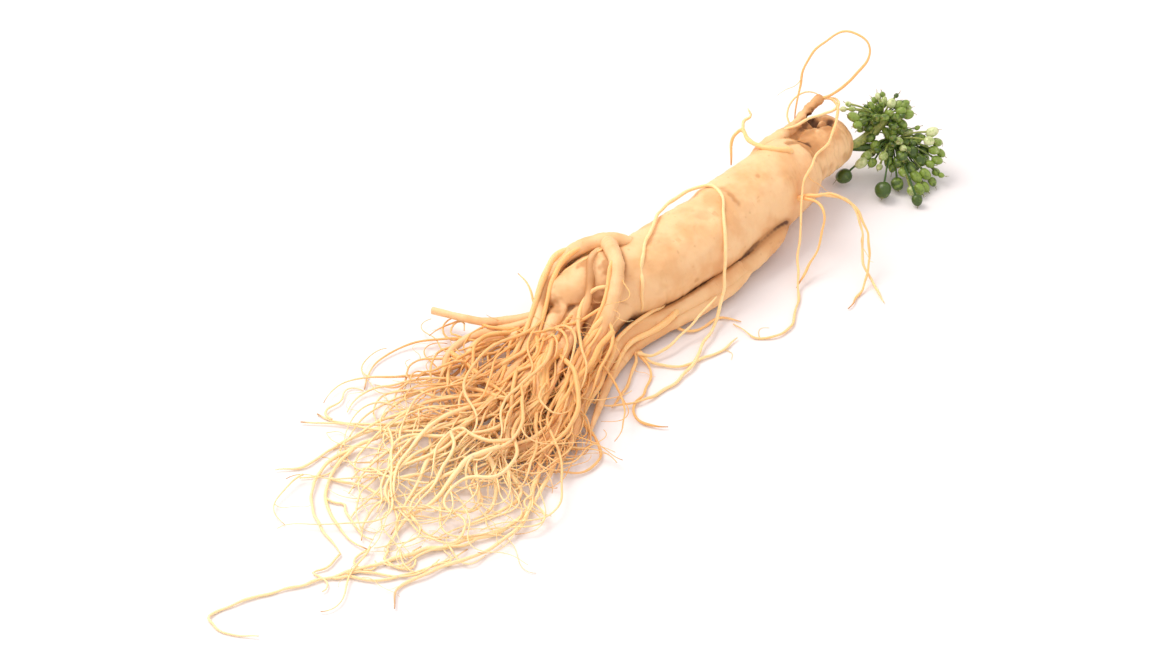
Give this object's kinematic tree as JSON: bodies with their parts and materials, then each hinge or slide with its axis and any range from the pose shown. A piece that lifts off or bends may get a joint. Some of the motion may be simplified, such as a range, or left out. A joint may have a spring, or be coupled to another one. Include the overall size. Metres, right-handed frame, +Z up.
{
  "type": "ginseng root",
  "caption": "Whole ginseng root lying down: a stout ringed body with a notched crown, branching legs, a fan of curly rootlets and a green fruiting stalk.",
  "frame": {"origin": "a point on the flat spot under the body, which the root rests on, below the body's axis", "axes": "+X along the body towards the crown, +Z up from the surface it lies on"},
  "size_m": [0.323, 0.1047, 0.0542],
  "materials": {
    "root_skin": "satin, thin fibrous root skin",
    "stalk_green": "satin, waxy plant skin"
  },
  "bodies": {
    "root": {"root": "root_skin", "fruiting_stalk": "stalk_green"}
  },
  "joints": []
}
